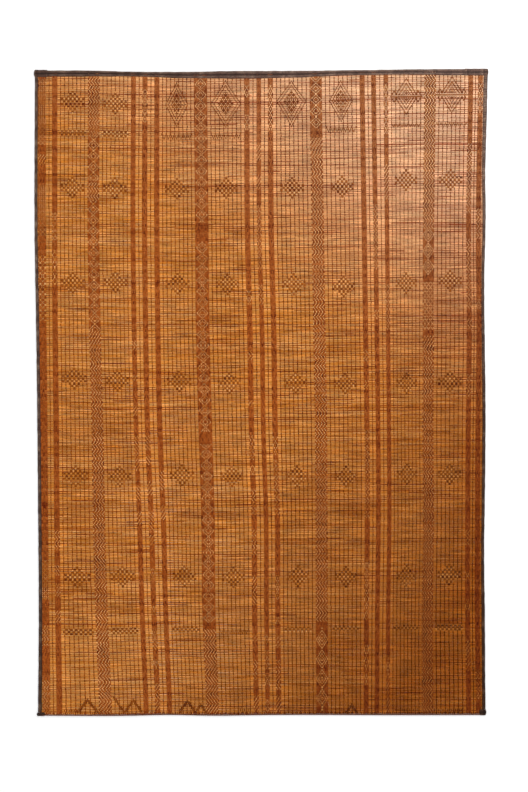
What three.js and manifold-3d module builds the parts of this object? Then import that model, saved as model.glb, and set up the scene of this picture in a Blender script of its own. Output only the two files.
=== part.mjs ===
// A large floor mat of split reeds woven across with narrow leather strips, bound in leather on all four sides.
// It lies flat. Millimetres, +Z up, +Y towards the edge with the wide double-rolled binding.
// The origin is under the middle of the mat, on the ground.

import * as THREE from 'three';
import { RoundedBoxGeometry } from 'three/addons/geometries/RoundedBoxGeometry.js';
import { mergeVertices } from 'three/addons/utils/BufferGeometryUtils.js';
import Module from 'manifold-3d';

const wasm = await Module();
wasm.setup();

// Clearance between two pieces that touch, and how near two points are to be one
const joinGap = 0.3;
const samePoint = 1e-4;

// Heights above the ground
const leatherUnder = 1.0;
const reedsBottom = leatherUnder + joinGap;
const reedsTop = 4.1;
const bandTop = 5.2;
const lineTop = 4.9;

// Leather edges: how wide the top one is, how far each is folded over the reeds, and the cord at the bottom
const topBindingWidth = 42;
const topFoldDepth = 28;
const sideFoldDepth = 12;
const cordWidth = 9;

// Thin leather lines
const lineWidth = 7;
const slopedSide = 1.2;
const firstLineShare = 0.75;

// Where a strip ends: so far under the top binding, and so far before the last reed
const stripUnderBinding = 4;
const stripBeforeEnd = 1;

// How far the leather edges run before the corner wraps cut them
const sideTop = 2235;
const sideBottom = -2255;
const topHalfLength = 1580;
const cordHalfLength = 1560;

// Share of a corner wrap's height that its round edges take
const wrapRounding = 0.42;

// Steps along the edges, the bands and the thin lines
const edgeSteps = 24;
const bandSteps = 8;
const lineSteps = 5;

// Outer line of the left side and the width of its leather, from the bottom up
const leftSide = [
  { y: -2260, x: -1562, width: 26 },
  { y: -2084, x: -1560, width: 26 },
  { y: -1560, x: -1556, width: 24 },
  { y: -720, x: -1562, width: 24 },
  { y: 15, x: -1569, width: 23 },
  { y: 540, x: -1576, width: 22 },
  { y: 1065, x: -1585, width: 21 },
  { y: 2240, x: -1583, width: 21 },
];

// The same on the right side, which waves more and flares at the top
const rightSide = [
  { y: -2260, x: 1570, width: 24 },
  { y: -2084, x: 1568, width: 22 },
  { y: -1560, x: 1565, width: 23 },
  { y: -1140, x: 1560, width: 20 },
  { y: -620, x: 1567, width: 22 },
  { y: -90, x: 1570, width: 22 },
  { y: 330, x: 1565, width: 22 },
  { y: 750, x: 1561, width: 20 },
  { y: 1275, x: 1571, width: 21 },
  { y: 1485, x: 1568, width: 22 },
  { y: 1905, x: 1578, width: 27 },
  { y: 2240, x: 1586, width: 28 },
];

// Outer line of the top and of the bottom, from left to right
const topEdge = [
  { x: -1590, y: 2250 },
  { x: -1240, y: 2252 },
  { x: -904, y: 2244 },
  { x: -484, y: 2243 },
  { x: -232, y: 2248 },
  { x: 272, y: 2250 },
  { x: 692, y: 2255 },
  { x: 1252, y: 2262 },
  { x: 1590, y: 2262 },
];
const bottomEdge = [
  { x: -1590, y: -2263 },
  { x: -904, y: -2263 },
  { x: -673, y: -2258 },
  { x: -323, y: -2263 },
  { x: -8, y: -2259 },
  { x: 972, y: -2259 },
  { x: 1590, y: -2258 },
];

// Leather folded round each corner: its box in plan and its height
const cornerWraps = [
  { name: 'top_left_wrap', left: -1590, right: -1491, low: 2205, high: 2256, tall: 8.4 },
  { name: 'top_right_wrap', left: 1418, right: 1590, low: 2216, high: 2265, tall: 8.4 },
  { name: 'bottom_left_wrap', left: -1570, right: -1511, low: -2265, high: -2240, tall: 8.0 },
  { name: 'bottom_right_wrap', left: 1525, right: 1575, low: -2260, high: -2217, tall: 8.0 },
];

// Leather bands from left to right: centre and width where they leave the top binding, and how many thin
// leather lines follow before the next band
const bands = [
  { centre: -1533, width: 57, linesAfter: 1 },
  { centre: -1445, width: 39, linesAfter: 7 },
  { centre: -1171, width: 84, linesAfter: 7 },
  { centre: -894, width: 36, linesAfter: 1 },
  { centre: -813, width: 38, linesAfter: 1 },
  { centre: -730, width: 37, linesAfter: 8 },
  { centre: -425, width: 95, linesAfter: 8 },
  { centre: -101, width: 40, linesAfter: 1 },
  { centre: -17, width: 34, linesAfter: 1 },
  { centre: 64, width: 39, linesAfter: 8 },
  { centre: 381, width: 88, linesAfter: 8 },
  { centre: 706, width: 38, linesAfter: 1 },
  { centre: 786, width: 36, linesAfter: 1 },
  { centre: 872, width: 35, linesAfter: 8 },
  { centre: 1182, width: 84, linesAfter: 8 },
  { centre: 1466, width: 37, linesAfter: 1 },
  { centre: 1534, width: 36, linesAfter: 0 },
];

// How far the bands have drifted sideways at a height, at nine of them from left to right
const driftGuides = [-1445, -1171, -813, -425, -17, 381, 786, 1182, 1466];
const drift = [
  { y: -2155, sideways: [31, 84, 89, 85, 62, 47, 24, -21, -14] },
  { y: -1525, sideways: [22, 56, 62, 59, 54, 43, 28, -23, -22] },
  { y: -930, sideways: [15, 38, 45, 54, 52, 41, 35, -14, -21] },
  { y: -265, sideways: [10, 27, 17, 36, 32, 38, 33, -18, -17] },
  { y: 435, sideways: [3, 8, 4, 16, 23, 26, 24, -15, -10] },
  { y: 1100, sideways: [0, -3, -3, 11, 4, 16, 15, -13, -15] },
  { y: 2130, sideways: [0, 0, 0, 0, 0, 0, 0, 0, 0] },
];

// Sections of the leather edges: share of the width from the outer line inwards, and height
const sideSection = [
  { inward: 0.1, high: 0 },
  { inward: 1, high: 0 },
  { inward: 1, high: 5.4 },
  { inward: 0.75, high: 6.4 },
  { inward: 0.4, high: 7 },
  { inward: 0.12, high: 6.2 },
  { inward: 0, high: 4.6 },
  { inward: 0, high: 1.5 },
];
const topSection = [
  { inward: 0.05, high: 0 },
  { inward: 1, high: 0 },
  { inward: 1, high: 5.2 },
  { inward: 0.94, high: 6.1 },
  { inward: 0.78, high: 6.7 },
  { inward: 0.6, high: 6.3 },
  { inward: 0.52, high: 5.5 },
  { inward: 0.44, high: 6.9 },
  { inward: 0.25, high: 7.6 },
  { inward: 0.08, high: 6.8 },
  { inward: 0, high: 5 },
  { inward: 0, high: 1.5 },
];
const cordSection = [
  { inward: 0.3, high: 0 },
  { inward: 0.7, high: 0 },
  { inward: 1, high: 1.7 },
  { inward: 1, high: 4.2 },
  { inward: 0.7, high: 5.9 },
  { inward: 0.3, high: 5.9 },
  { inward: 0, high: 4.2 },
  { inward: 0, high: 1.7 },
];
const bandSection = [
  { inward: 0.04, high: 0 },
  { inward: 0.96, high: 0 },
  { inward: 1, high: reedsBottom + 1 },
  { inward: 0.96, high: bandTop },
  { inward: 0.04, high: bandTop },
  { inward: 0, high: reedsBottom + 1 },
];
const lineSection = [
  { inward: 0, high: reedsTop - 1 },
  { inward: 1, high: reedsTop - 1 },
  { inward: 1 - slopedSide / lineWidth, high: lineTop },
  { inward: slopedSide / lineWidth, high: lineTop },
];

// A smooth curve through one column of a table, read at any place along the column that says where a row is
function smoothColumn(rows, at, value) {
  const places = rows.map((row) => row[at]);
  const values = rows.map((row) => row[value]);
  const curve = new THREE.CubicInterpolant(places, values, 1, [0]);
  return (where) => curve.evaluate(where)[0];
}

const leftX = smoothColumn(leftSide, 'y', 'x');
const leftWidth = smoothColumn(leftSide, 'y', 'width');
const rightX = smoothColumn(rightSide, 'y', 'x');
const rightWidth = smoothColumn(rightSide, 'y', 'width');
const topY = smoothColumn(topEdge, 'x', 'y');
const bottomY = smoothColumn(bottomEdge, 'x', 'y');

const sidewaysAtHeight = new THREE.CubicInterpolant(
  drift.map((row) => row.y),
  drift.flatMap((row) => row.sideways),
  driftGuides.length,
  driftGuides.map(() => 0),
);

// Where a strip that leaves the top at x has got to at height y
function driftedX(x, y) {
  const sideways = Array.from(sidewaysAtHeight.evaluate(y));
  const across = new THREE.LinearInterpolant(driftGuides, sideways, 1, [0]);
  return x + across.evaluate(x)[0];
}

// A closed geometry as a solid for cutting and joining
function toSolid(geometry) {
  const plain = geometry.clone();
  plain.deleteAttribute('normal');
  plain.deleteAttribute('uv');
  const merged = mergeVertices(plain, samePoint);
  return new wasm.Manifold(new wasm.Mesh({
    numProp: 3,
    vertProperties: Float32Array.from(merged.attributes.position.array),
    triVerts: Uint32Array.from(merged.index.array),
  }));
}

function toGeometry(solid) {
  const { vertProperties, triVerts } = solid.getMesh();
  const geometry = new THREE.BufferGeometry();
  geometry.setAttribute('position', new THREE.BufferAttribute(vertProperties, 3));
  geometry.setIndex(new THREE.BufferAttribute(triVerts, 1));
  geometry.computeVertexNormals();
  return geometry;
}

// A bar of one section, laid where place(inward, along) says. Both run from 0 to 1. Seen from above, inward is
// on the left of the way along, so the mat's edges are followed anticlockwise.
function layBar(section, steps, place) {
  const outline = new THREE.Shape(section.map(({ inward, high }) => new THREE.Vector2(inward, high)));
  const geometry = new THREE.ExtrudeGeometry(outline, { depth: 1, steps, bevelEnabled: false });
  const points = geometry.attributes.position;
  for (let i = 0; i < points.count; i += 1) {
    const { x, y } = place(points.getX(i), points.getZ(i));
    points.setXYZ(i, x, y, points.getY(i));
  }
  return toSolid(geometry);
}

// Each leather edge as a solid bar, with extra added to both its sides in plan
const { lerp } = THREE.MathUtils;

function leftBar(extra) {
  return layBar(sideSection, edgeSteps, (inward, along) => {
    const y = lerp(sideTop, sideBottom, along);
    return { x: leftX(y) + lerp(-extra, leftWidth(y) + extra, inward), y };
  });
}

function rightBar(extra) {
  return layBar(sideSection, edgeSteps, (inward, along) => {
    const y = lerp(sideBottom, sideTop, along);
    return { x: rightX(y) - lerp(-extra, rightWidth(y) + extra, inward), y };
  });
}

function topBar(extra) {
  return layBar(topSection, edgeSteps, (inward, along) => {
    const x = lerp(topHalfLength, -topHalfLength, along);
    return { x, y: topY(x) - lerp(-extra, topBindingWidth + extra, inward) };
  });
}

function bottomBar(extra) {
  return layBar(cordSection, edgeSteps, (inward, along) => {
    const x = lerp(-cordHalfLength, cordHalfLength, along);
    return { x, y: bottomY(x) + lerp(-extra, cordWidth + extra, inward) };
  });
}

// A wrap's block, and the plain box round it that its neighbours leave free
function wrapBlock({ left, right, low, high, tall }) {
  const block = new RoundedBoxGeometry(right - left, high - low, tall, 2, tall * wrapRounding);
  block.translate((left + right) / 2, (low + high) / 2, tall / 2);
  return toSolid(block);
}

function wrapSpace({ left, right, low, high, tall }) {
  const width = right - left + 2 * joinGap;
  const length = high - low + 2 * joinGap;
  const box = new THREE.BoxGeometry(width, length, 2 * tall);
  box.translate((left + right) / 2, (low + high) / 2, 0);
  return toSolid(box);
}

// The sheet of reeds in plan, which reaches into the folds of the leather edges, grown by extra all round
function reedSheet(extra) {
  const along = Array.from({ length: edgeSteps + 1 }, (_, i) => i / edgeSteps);
  const reedsLeft = (y) => leftX(y) + leftWidth(y) - sideFoldDepth - extra;
  const reedsRight = (y) => rightX(y) - rightWidth(y) + sideFoldDepth + extra;
  const reedsHigh = (x) => topY(x) - topBindingWidth + topFoldDepth + extra;
  const reedsLow = (x) => bottomY(x) + cordWidth + joinGap - extra;
  const high = reedsHigh(0);
  const low = reedsLow(0);
  const rightLine = along.slice(1, -1).map((t) => {
    const y = lerp(low, high, t);
    return new THREE.Vector2(reedsRight(y), y);
  });
  const topLine = along.map((t) => {
    const x = lerp(reedsRight(high), reedsLeft(high), t);
    return new THREE.Vector2(x, reedsHigh(x));
  });
  const leftLine = along.slice(1, -1).map((t) => {
    const y = lerp(high, low, t);
    return new THREE.Vector2(reedsLeft(y), y);
  });
  const bottomLine = along.map((t) => {
    const x = lerp(reedsLeft(low), reedsRight(low), t);
    return new THREE.Vector2(x, reedsLow(x));
  });
  const outline = new THREE.Shape([...rightLine, ...topLine, ...leftLine, ...bottomLine]);
  const depth = reedsTop - reedsBottom + 2 * extra;
  const sheet = new THREE.ExtrudeGeometry(outline, { depth, bevelEnabled: false });
  sheet.translate(0, 0, reedsBottom - extra);
  return toSolid(sheet);
}

// A strip of leather down the mat, from under the top binding to the last reed
function layStrip(section, steps, centre, width) {
  return layBar(section, steps, (inward, along) => {
    const high = topY(centre) - topBindingWidth + stripUnderBinding;
    const low = bottomY(centre) + cordWidth + joinGap + stripBeforeEnd;
    const y = lerp(high, low, along);
    return { x: driftedX(centre, y) + lerp(-width / 2, width / 2, inward), y };
  });
}

function bandStrips() {
  return bands.map(({ centre, width }) => layStrip(bandSection, bandSteps, centre, width));
}

// Thin lines share the space between two bands evenly, with a little less before the first than between them
function lineStrips() {
  const strips = [];
  bands.slice(0, -1).forEach((band, i) => {
    const from = band.centre + band.width / 2;
    const to = bands[i + 1].centre - bands[i + 1].width / 2;
    const count = band.linesAfter;
    const pitch = (to - from) / (count - 1 + 2 * firstLineShare);
    const start = count === 1 ? (from + to) / 2 : from + firstLineShare * pitch;
    for (let k = 0; k < count; k += 1) {
      strips.push(layStrip(lineSection, lineSteps, start + k * pitch, lineWidth));
    }
  });
  return strips;
}

const splitReed = { color: 0xc88a45, roughness: 0.6, metalness: 0 };
const darkLeather = { color: 0x4a3a34, roughness: 0.55, metalness: 0 };
const brownLeather = { color: 0x5c2c1a, roughness: 0.6, metalness: 0 };

function addMesh(group, name, solid, finish) {
  const mesh = new THREE.Mesh(toGeometry(solid), new THREE.MeshStandardMaterial(finish));
  mesh.name = name;
  group.add(mesh);
}

function buildMat() {
  const group = new THREE.Group();
  const wrapSpaces = wasm.Manifold.union(cornerWraps.map(wrapSpace));
  const reedSpace = reedSheet(joinGap);

  const edgeSpaces = [leftBar, rightBar, topBar, bottomBar].map((bar) => bar(joinGap));
  const stripSpaces = wasm.Manifold.union([...edgeSpaces, wrapSpaces]);
  const strips = wasm.Manifold.union([...bandStrips(), ...lineStrips()]).subtract(stripSpaces);
  addMesh(group, 'woven_field', reedSheet(0).add(strips), splitReed);

  const ends = wrapSpaces.add(reedSpace);
  addMesh(group, 'top_binding', topBar(0).subtract(ends), darkLeather);
  addMesh(group, 'left_binding', leftBar(0).subtract(ends), darkLeather);
  addMesh(group, 'right_binding', rightBar(0).subtract(ends), darkLeather);
  addMesh(group, 'bottom_cord', bottomBar(0).subtract(ends), brownLeather);
  cornerWraps.forEach((wrap) => {
    addMesh(group, wrap.name, wrapBlock(wrap).subtract(reedSpace), darkLeather);
  });
  return group;
}

export default buildMat();
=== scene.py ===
import math

import bmesh
import bpy
import numpy as np
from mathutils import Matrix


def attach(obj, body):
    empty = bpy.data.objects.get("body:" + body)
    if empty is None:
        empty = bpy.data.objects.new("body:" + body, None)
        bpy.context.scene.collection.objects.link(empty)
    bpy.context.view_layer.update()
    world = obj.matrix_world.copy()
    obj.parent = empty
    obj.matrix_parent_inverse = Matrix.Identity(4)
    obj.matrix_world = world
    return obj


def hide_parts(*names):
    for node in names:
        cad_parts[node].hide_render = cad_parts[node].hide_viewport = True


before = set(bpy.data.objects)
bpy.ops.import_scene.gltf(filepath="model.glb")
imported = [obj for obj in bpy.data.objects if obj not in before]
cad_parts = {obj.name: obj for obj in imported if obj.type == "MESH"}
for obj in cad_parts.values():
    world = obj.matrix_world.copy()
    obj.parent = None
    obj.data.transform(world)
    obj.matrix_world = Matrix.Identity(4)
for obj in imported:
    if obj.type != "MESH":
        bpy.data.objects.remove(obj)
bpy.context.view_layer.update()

mm = 0.001
chance = np.random.default_rng(11)

# Lengths are in mm, as on the loom: +x to the right, +y to the double-rolled edge.
# Outline of the mat, read from the photo.
outline = {
    "leftSide": np.array([
        [-2260, -1562, 26], [-2084, -1560, 26], [-1560, -1556, 24], [-720, -1562, 24],
        [15, -1569, 23], [540, -1576, 22], [1065, -1585, 21], [2240, -1583, 21],
    ]),
    "rightSide": np.array([
        [-2260, 1570, 24], [-2084, 1568, 22], [-1560, 1565, 23], [-1140, 1560, 20],
        [-620, 1567, 22], [-90, 1570, 22], [330, 1565, 22], [750, 1561, 20],
        [1275, 1571, 21], [1485, 1568, 22], [1905, 1578, 27], [2240, 1586, 28],
    ]),
    "topEdge": np.array([
        [-1590, 2250], [-1240, 2252], [-904, 2244], [-484, 2243], [-232, 2248],
        [272, 2250], [692, 2255], [1252, 2262], [1590, 2262],
    ]),
    "topBindingEnds": np.array([
        [-1590, 2209], [-1268, 2209], [-813, 2207], [-568, 2198], [-253, 2195], [202, 2200],
        [342, 2205], [482, 2213], [762, 2219], [972, 2222], [1357, 2218], [1590, 2217],
    ]),
    "bottomEdge": np.array([
        [-1590, -2263], [-904, -2263], [-673, -2258], [-323, -2263], [-8, -2259],
        [972, -2259], [1590, -2258],
    ]),
}

# Woven bands from left to right, and how many thin lines follow each.
bands = [
    {"at": -1533, "width": 57, "strips": 8, "lines": 1, "weave": "leftEdge", "threads": 0.66},
    {"at": -1445, "width": 39, "strips": 6, "lines": 7, "weave": "leftSingle"},
    {"at": -1171, "width": 84, "strips": 12, "lines": 7, "weave": "first",
     "leather": 0.4, "threads": 0.8},
    {"at": -894, "width": 36, "strips": 5, "lines": 1, "weave": "leftTrioA"},
    {"at": -813, "width": 38, "strips": 5, "lines": 1, "weave": "leftTrioB"},
    {"at": -730, "width": 37, "strips": 5, "lines": 8, "weave": "leftTrioC"},
    {"at": -425, "width": 95, "strips": 13, "lines": 8, "weave": "second",
     "leather": 0.4, "threads": 0.8},
    {"at": -101, "width": 40, "strips": 5, "lines": 1, "weave": "midTrioA"},
    {"at": -17, "width": 34, "strips": 5, "lines": 1, "weave": "midTrioB"},
    {"at": 64, "width": 39, "strips": 5, "lines": 8, "weave": "midTrioC"},
    {"at": 381, "width": 88, "strips": 12, "lines": 8, "weave": "third",
     "leather": 0.4, "threads": 0.8},
    {"at": 706, "width": 38, "strips": 5, "lines": 1, "weave": "rightTrioA"},
    {"at": 786, "width": 36, "strips": 5, "lines": 1, "weave": "rightTrioB"},
    {"at": 872, "width": 35, "strips": 5, "lines": 8, "weave": "rightTrioC"},
    {"at": 1182, "width": 84, "strips": 12, "lines": 7, "weave": "fourth",
     "leather": 0.4, "threads": 0.8},
    {"at": 1466, "width": 37, "strips": 5, "lines": 1, "weave": "rightSingle"},
    {"at": 1534, "width": 36, "strips": 5, "lines": 0, "weave": "rightEdge"},
]

# How far each column has moved sideways, by height on the mat.
drift = {
    "guides": np.array([-1445, -1171, -813, -425, -17, 381, 786, 1182, 1466]),
    "heights": np.array([-2155, -1525, -930, -265, 435, 1100, 2130]),
    "sideways": np.array([
        [31, 84, 89, 85, 62, 47, 24, -21, -14],
        [22, 56, 62, 59, 54, 43, 28, -23, -22],
        [15, 38, 45, 54, 52, 41, 35, -14, -21],
        [10, 27, 17, 36, 32, 38, 33, -18, -17],
        [3, 8, 4, 16, 23, 26, 24, -15, -10],
        [0, -3, -3, 11, 4, 16, 15, -13, -15],
        [0, 0, 0, 0, 0, 0, 0, 0, 0],
    ]),
}

# The woven field: its ends, its reeds, and how it lies.
weave = {
    "top": 2236.0,
    "bottom": -2250.5,
    "reeds": 916,
    "halfWide": 1560,
    "tucked": 2,  # how far the leather reaches under the side bindings
    "topEdge": 2250,
    "bottomEdge": -2260,
    "waver": 1.3,  # how far the rows stray
    "swell": 0.8,  # height of the low waves in which the mat lies
    "longWave": (410, 530),
    "shortWave": (173, 260),
}
weave["pitch"] = (weave["top"] - weave["bottom"]) / weave["reeds"]


# Reads a table smoothly between its rows.
def smoothAt(places, values, at):
    slopes = np.gradient(values, places)
    i = np.clip(np.searchsorted(places, at) - 1, 0, len(places) - 2)
    span = places[i + 1] - places[i]
    t = np.clip((at - places[i]) / span, 0, 1)
    rise = t * t * (3 - 2 * t)
    bend = t * (1 - t)
    start = bend * (1 - t) * slopes[i]
    end = bend * t * slopes[i + 1]
    return values[i] + (values[i + 1] - values[i]) * rise + (start - end) * span


def edgeAt(name, column, at):
    table = outline[name].astype(float)
    return smoothAt(table[:, 0], table[:, column], at)


# Where a column lies sideways once the mat has skewed with use.
def columnX(u, v):
    guides = drift["guides"].astype(float)
    heights = drift["heights"].astype(float)
    moved = np.array([smoothAt(heights, column, v) for column in drift["sideways"].T.astype(float)])
    k = np.clip(np.searchsorted(guides, u) - 1, 0, len(guides) - 2)
    t = np.clip((u - guides[k]) / (guides[k + 1] - guides[k]), 0, 1)
    each = np.arange(len(u))
    x = u + moved[k, each] * (1 - t) + moved[k + 1, each] * t
    left = edgeAt("leftSide", 1, v) + edgeAt("leftSide", 2, v) - weave["tucked"]
    right = edgeAt("rightSide", 1, v) - edgeAt("rightSide", 2, v) + weave["tucked"]
    return np.clip(x, left, right)


# The mat doesn't lie perfectly flat: low, wide swells.
def swellAt(x, y):
    longX, longY = weave["longWave"]
    shortX, shortY = weave["shortWave"]
    waves = 0.6 * np.sin(x / longX + 1.1) * np.cos(y / longY + 0.4)
    waves = waves + 0.4 * np.sin(x / shortX - y / shortY)
    return weave["swell"] * (1 + waves)


# Lays points of the loom on the ground: the ends follow the edges, rows waver a little.
def settle(x, v, z):
    t = (v - weave["bottom"]) / (weave["top"] - weave["bottom"])
    topLift = edgeAt("topEdge", 1, x) - weave["topEdge"]
    bottomLift = edgeAt("bottomEdge", 1, x) - weave["bottomEdge"]
    waver = weave["waver"] * np.sin(x / 190 + v / 310) * np.sin(v / 83 + x / 900)
    y = v + topLift * t + bottomLift * (1 - t) + waver * np.clip(8 * t * (1 - t), 0, 1)
    return np.stack([x, y, z + swellAt(x, y)], axis=1) * mm


# Makes a mesh of four-sided faces, turned outward, with a tone for each face or point.
def meshFrom(name, coords, quads, tone):
    a, b, c, d = (coords[quads[:, k]] for k in range(4))
    volume = np.einsum("ij,ij->", a, np.cross(b, c)) + np.einsum("ij,ij->", a, np.cross(c, d))
    if volume < 0:
        quads = quads[:, ::-1]
    mesh = bpy.data.meshes.new(name)
    mesh.vertices.add(len(coords))
    mesh.vertices.foreach_set("co", coords.astype(np.float32).ravel())
    mesh.loops.add(quads.size)
    mesh.loops.foreach_set("vertex_index", quads.astype(np.int32).ravel())
    mesh.polygons.add(len(quads))
    mesh.polygons.foreach_set("loop_start", np.arange(0, quads.size, 4, dtype=np.int32))
    mesh.update(calc_edges=True)
    domain = "POINT" if len(tone) == len(coords) else "FACE"
    mesh.attributes.new("tone", "FLOAT", domain).data.foreach_set("value", tone.astype(np.float32))
    mesh.shade_smooth()
    return mesh


def addPiece(name, mesh, material, node):
    piece = bpy.data.objects.new(name, mesh)
    bpy.context.scene.collection.objects.link(piece)
    mesh.materials.append(material)
    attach(piece, "root")
    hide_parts(node)
    mesh.calc_loop_triangles()
    print(name, len(mesh.loop_triangles), "triangles")
    return piece


# A short leather float: a block one unit each way, with a narrower, domed top.
def unitStitch(topX, topY):
    bm = bmesh.new()
    bmesh.ops.create_cube(bm, size=1)
    for vertex in bm.verts:
        if vertex.co.z > 0:
            vertex.co.x *= topX
            vertex.co.y *= topY
    points = np.array([vertex.co[:] for vertex in bm.verts])
    quads = np.array([[vertex.index for vertex in face.verts] for face in bm.faces])
    bm.free()
    return points, quads


# A closed tube of rings one unit apart. Its points lie ring after ring, and its ends are
# cut across into ladders of four-sided faces. The operators give the faces in a different
# order each run, so each face starts at its lowest point and the faces are sorted.
def unitTube(rings, around):
    bm = bmesh.new()
    bmesh.ops.create_circle(bm, segments=around, radius=1)
    edges = bm.edges[:]
    for _ in range(rings - 1):
        made = bmesh.ops.extrude_edge_only(bm, edges=edges)["geom"]
        edges = [part for part in made if isinstance(part, bmesh.types.BMEdge)]
        raised = [part for part in made if isinstance(part, bmesh.types.BMVert)]
        bmesh.ops.translate(bm, verts=raised, vec=(0, 0, 1))
    bmesh.ops.holes_fill(bm, edges=bm.edges[:], sides=around)
    bm.verts.ensure_lookup_table()
    for start in (0, (rings - 1) * around):
        for k in range(1, around // 2 - 1):
            ends = [bm.verts[start + k], bm.verts[start + around - 1 - k]]
            bmesh.ops.connect_vert_pair(bm, verts=ends)
    bmesh.ops.recalc_face_normals(bm, faces=bm.faces[:])
    quads = np.array([[vertex.index for vertex in face.verts] for face in bm.faces])
    bm.free()
    lowest = quads.argmin(axis=1)[:, None]
    quads = np.take_along_axis(quads, (lowest + np.arange(4)) % 4, axis=1)
    return quads[np.lexsort(quads.T[::-1])]


# Copies a unit shape to many places on the loom. at and size have a row for each copy.
def stamp(name, unit, at, size, tone, lean=None, skewed=True):
    points, quads = unit
    spread = at[:, None, :] + points[None, :, :] * size[:, None, :]
    if lean is not None:
        spread[:, :, 0] += lean[:, None] * points[None, :, 1]
    spread = spread.reshape(-1, 3)
    x = columnX(spread[:, 0], spread[:, 1]) if skewed else spread[:, 0]
    coords = settle(x, spread[:, 1], spread[:, 2])
    corners = quads[None, :, :] + (np.arange(len(at)) * len(points))[:, None, None]
    return meshFrom(name, coords, corners.reshape(-1, 4), np.repeat(tone, len(quads)))


# Sweeps a closed section along a path. section has (across, up) for each ring and point.
def sweep(name, path, section, tone):
    rings, around = section.shape[:2]
    along = np.gradient(path, axis=0)
    along /= np.linalg.norm(along, axis=1)[:, None]
    normal = np.stack([-along[:, 1], along[:, 0]], axis=1)
    plan = path[:, None, :] + normal[:, None, :] * section[:, :, :1]
    up = section[:, :, 1:] + swellAt(plan[:, :, :1], plan[:, :, 1:])
    coords = np.concatenate([plan, up], axis=2).reshape(-1, 3) * mm
    return meshFrom(name, coords, unitTube(rings, around), tone.reshape(-1))


# A wavering value along a length, made from a few fixed waves.
def wander(along, length, seed):
    phases = np.random.default_rng(seed).uniform(0, 2 * math.pi, 4)
    waves = [np.sin(along * (0.6 + 0.7 * k) / length + phases[k]) for k in range(4)]
    return sum(waves) / 2.4


# Several wavering values along a length, from a table of amount, length and seed.
def wanders(along, table, seed=0):
    return {key: amount * wander(along, length, seed + extra)
            for key, (amount, length, extra) in table.items()}


# Streaks: stretches of single reeds are darker or paler than their neighbours.
streaks = {
    "segments": 16,
    # Tone: its middle, and its spread from pair to pair, reed to reed and along each reed.
    "middle": 0.5, "pairs": 0.1, "single": 0.07, "along": 0.07,
    "unevenCuts": 0.4,
    "kinds": [
        {"count": 560, "reeds": 1, "longest": 3, "from": 0.12, "to": 0.34},
        {"count": 80, "reeds": 1, "longest": 10, "from": 0.1, "to": 0.28},
        {"count": 700, "reeds": 1, "longest": 3, "from": 0.66, "to": 0.95},
    ],
    # Darker patches of the mat: middle across and along, half sizes, and change of tone.
    "patches": [
        (1450, 1300, 330, 1100, -0.10), (-1150, -950, 500, 500, -0.05), (300, -900, 450, 400, -0.03),
        (-1250, 1250, 700, 1000, 0.06), (-900, -1900, 900, 330, 0.08),
    ],
    # Dark reeds that stand out, with a paler one beside: height, then from and to across.
    "markedTone": 0.06, "besideTone": 0.3,
    "marked": [
        (2077, -700, -110), (2046, 600, 1500), (1942, 850, 1560), (1927, -75, 200), (1812, -1560, -1220),
        (1727, 850, 1560), (1692, -430, 200), (1567, 700, 1060), (1522, -1560, -1200), (1497, 1400, 1560),
        (-1446, -1560, -1250), (-1615, -1400, -700), (-1623, -1400, -700), (-2009, -1040, -780),
    ],
}
reedCount, segmentCount = weave["reeds"], streaks["segments"]
reedY = weave["top"] - (np.arange(reedCount) + 0.5) * weave["pitch"]


# How many segments of a reed lie left of a place across the mat.
def segmentAt(u):
    return (u + weave["halfWide"]) / (2 * weave["halfWide"]) * segmentCount


pairTone = streaks["middle"] + streaks["pairs"] * chance.standard_normal((reedCount // 2, segmentCount))
reedTone = np.repeat(pairTone, 2, axis=0)
reedTone = reedTone + streaks["single"] * chance.standard_normal((reedCount, 1))
reedTone = reedTone + streaks["along"] * chance.standard_normal((reedCount, segmentCount))
for kind in streaks["kinds"]:
    for _ in range(kind["count"]):
        reed = chance.integers(0, reedCount)
        start = chance.integers(0, segmentCount)
        stretch = chance.integers(1, kind["longest"] + 1)
        level = chance.uniform(kind["from"], kind["to"])
        reedTone[reed:reed + kind["reeds"], start:start + stretch] = level
for height, low, high in streaks["marked"]:
    reed = int((weave["top"] - height) / weave["pitch"])
    start = int(segmentAt(low))
    stop = math.ceil(segmentAt(high))
    reedTone[reed, start:stop] = streaks["markedTone"]
    reedTone[reed + 1, start:stop] = streaks["besideTone"]
segmentU = (np.arange(segmentCount) + 0.5) / segmentCount * 2 * weave["halfWide"] - weave["halfWide"]
patchU, patchV = np.meshgrid(segmentU, reedY)
for middleU, middleV, wide, tall, change in streaks["patches"]:
    reach = ((patchU - middleU) / wide) ** 2 + ((patchV - middleV) / tall) ** 2
    reedTone = reedTone + change * np.exp(-reach ** 1.5)
# The weave ties reeds in threes: one of each three sinks in. Its shade is painted as a wave of tone, darker
# and lighter in turn every three reeds.
ribShade = {"spacing": 15.2, "depth": 0.28, "wander": 1.3, "slope": 0.04, "length": 70, "seed": 91}
ribShadePhase = 2 * math.pi * patchV / ribShade["spacing"]
ribShadePhase = ribShadePhase + ribShade["wander"] * wander(patchV + ribShade["slope"] * patchU, ribShade["length"], ribShade["seed"])
reedTone = reedTone + ribShade["depth"] * np.cos(ribShadePhase)
unevenCuts = streaks["unevenCuts"] * chance.uniform(-1, 1, (reedCount, segmentCount + 1))
cutShare = np.arange(segmentCount + 1)[None, :] + unevenCuts
cutShare = (cutShare / segmentCount).clip(0, 1)
cutShare[:, 0] = 0
cutShare[:, -1] = 1


# The streak tone at a place on the loom, painted rib shade included.
def streakAt(u, v):
    reed = ((weave["top"] - v) / weave["pitch"]).astype(int).clip(0, reedCount - 1)
    segment = segmentAt(u).astype(int).clip(0, segmentCount - 1)
    return reedTone[reed, segment]


# Colours are given as they look on screen.
def colour(code):
    parts = [int(code[k:k + 2], 16) / 255 for k in (1, 3, 5)]
    return [p / 12.92 if p < 0.04045 else ((p + 0.055) / 1.055) ** 2.4 for p in parts] + [1.0]


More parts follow.
